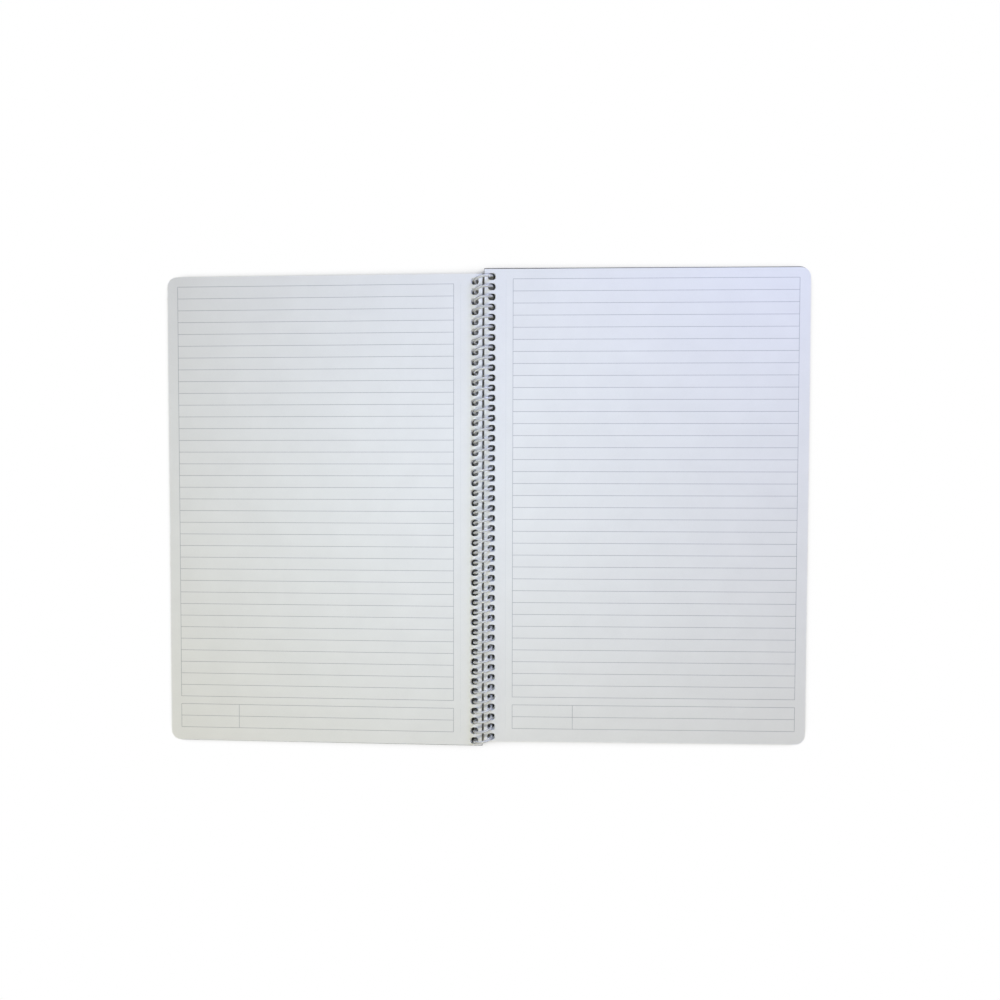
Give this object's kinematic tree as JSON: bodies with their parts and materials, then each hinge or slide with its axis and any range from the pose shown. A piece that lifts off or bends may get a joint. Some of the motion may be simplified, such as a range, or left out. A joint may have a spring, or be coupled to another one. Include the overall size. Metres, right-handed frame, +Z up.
{
  "type": "open spiral notebook",
  "caption": "Large ruled notebook on a plastic spiral, lying open in the middle; the front half folds over onto the back half.",
  "frame": {"origin": "on the desk, under the middle of the spiral", "axes": "+Y along the spiral to the head of the pages, +X across the unread right-hand half, +Z up"},
  "size_m": [0.4054, 0.3026, 0.0123],
  "materials": {
    "ruled_paper": "matte, ruled in pale grey-blue",
    "cover_board": "matte laminated card",
    "spiral_plastic": "glossy"
  },
  "bodies": {
    "back_half": {"back_cover": "cover_board", "unread_pages": "ruled_paper"},
    "spiral": {"spiral": "spiral_plastic"},
    "front_half": {"front_cover": "cover_board", "turned_pages": "ruled_paper"}
  },
  "joints": [
    {"name": "spiral_roll", "type": "hinge", "parent": "back_half", "child": "spiral", "pos_m": [0, 0, 0.00615], "axis": [0, 1, 0], "range_deg": [0, 89.3]},
    {"name": "front_fold", "type": "hinge", "parent": "spiral", "child": "front_half", "pos_m": [0, 0, 0.00615], "axis": [0, 1, 0], "range_deg": [0, 89.3]}
  ],
  "couplings": [
    {"joint": "spiral_roll", "follows": "front_fold", "ratio": 1}
  ]
}
